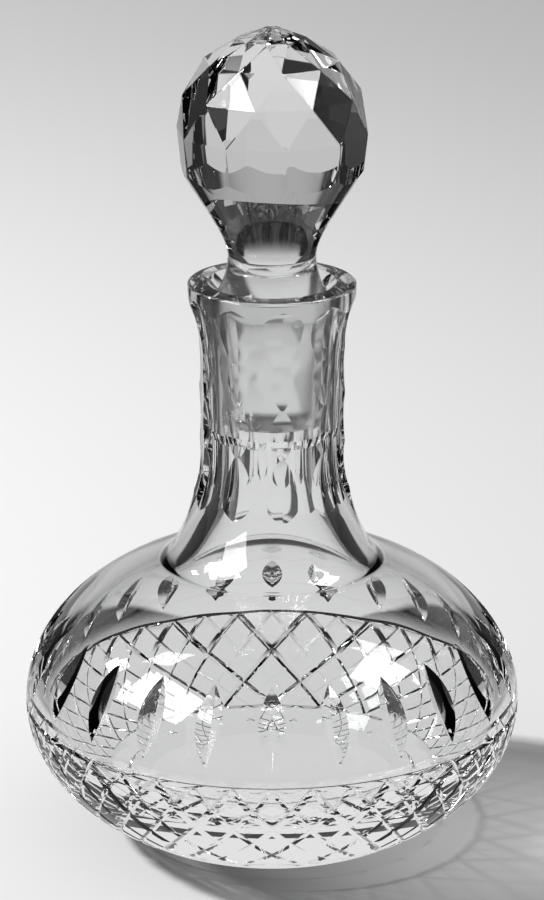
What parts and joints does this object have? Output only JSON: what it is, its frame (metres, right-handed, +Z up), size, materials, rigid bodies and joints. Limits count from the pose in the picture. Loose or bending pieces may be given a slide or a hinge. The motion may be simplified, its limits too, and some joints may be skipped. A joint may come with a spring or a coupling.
{
  "type": "port decanter",
  "caption": "Squat wide-bellied cut-glass decanter with a long notched neck and a faceted ball stopper that lifts out.",
  "frame": {"origin": "centre of the foot on the surface that the decanter stands on", "axes": "+Z up along the decanter's axis, out of its mouth"},
  "size_m": [0.165, 0.165, 0.2715],
  "materials": {
    "crystal_body": "polished clear lead crystal with polished cuts, ground inside the neck",
    "crystal_stopper": "polished clear lead crystal with polished facets and a ground plug"
  },
  "bodies": {
    "decanter": {"decanter_body": "crystal_body"},
    "stopper": {"stopper": "crystal_stopper"}
  },
  "joints": [
    {"name": "stopper_lift", "type": "slide", "parent": "decanter", "child": "stopper", "axis": [0, 0, 1], "range_m": [0, 0.07]}
  ]
}
